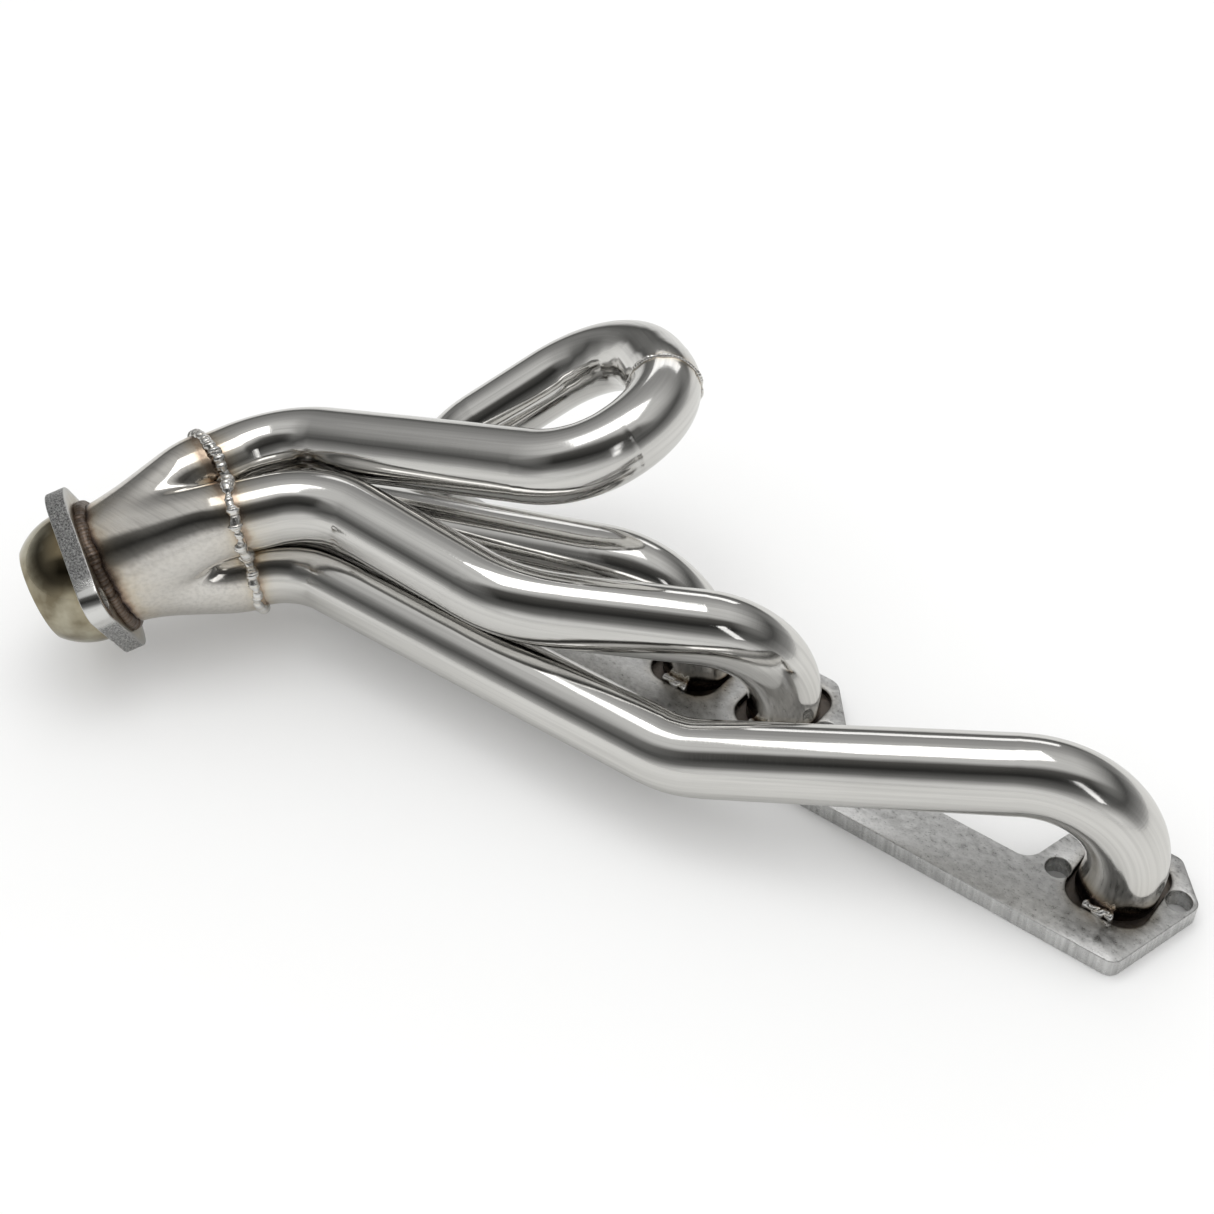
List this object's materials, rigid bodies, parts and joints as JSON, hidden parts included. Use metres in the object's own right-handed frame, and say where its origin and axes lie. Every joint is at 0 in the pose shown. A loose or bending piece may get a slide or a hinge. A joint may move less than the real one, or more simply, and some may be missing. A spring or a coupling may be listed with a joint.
{
  "type": "exhaust manifold",
  "caption": "Welded stainless tubular exhaust manifold: bent primary tubes rise from a bolted head flange and merge in a collector with a ball-ended outlet flange.",
  "frame": {"origin": "on the gasket face of the head flange, midway between the two middle ports", "axes": "+X along the head flange towards port 1 (the end away from the outlet), +Y towards the notched edge of the flange, +Z out of the cylinder head, from the gasket face to the tubes"},
  "size_m": [0.5426, 0.2845, 0.1443],
  "materials": {
    "polished_tube": "mirror-polished stainless tube",
    "collector_shell": "polished formed stainless, faint heat tint",
    "flange_plate": "cut plate with a mottled mill surface",
    "outlet_plate": "cut plate with granular edges",
    "weld_bead": "rippled weld bead with heat tint",
    "heat_tinted_seat": "polished ball end with an olive heat tint"
  },
  "bodies": {
    "root": {"head_flange": "flange_plate", "primary_tube_1": "polished_tube", "primary_tube_2": "polished_tube", "primary_tube_3": "polished_tube", "primary_tube_4_rear": "polished_tube", "primary_tube_4_front": "polished_tube", "collector_body": "collector_shell", "merge_plug": "collector_shell", "outlet_flange": "outlet_plate", "ball_seat": "heat_tinted_seat", "port_weld_1": "weld_bead", "tack_weld_1": "weld_bead", "collector_weld_1": "weld_bead", "port_weld_2": "weld_bead", "tack_weld_2": "weld_bead", "collector_weld_2": "weld_bead", "port_weld_3": "weld_bead", "tack_weld_3": "weld_bead", "collector_weld_3": "weld_bead", "port_weld_4": "weld_bead", "tack_weld_4": "weld_bead", "collector_weld_4": "weld_bead", "loop_weld": "weld_bead", "neck_weld": "weld_bead", "root_weld": "weld_bead"}
  },
  "joints": []
}
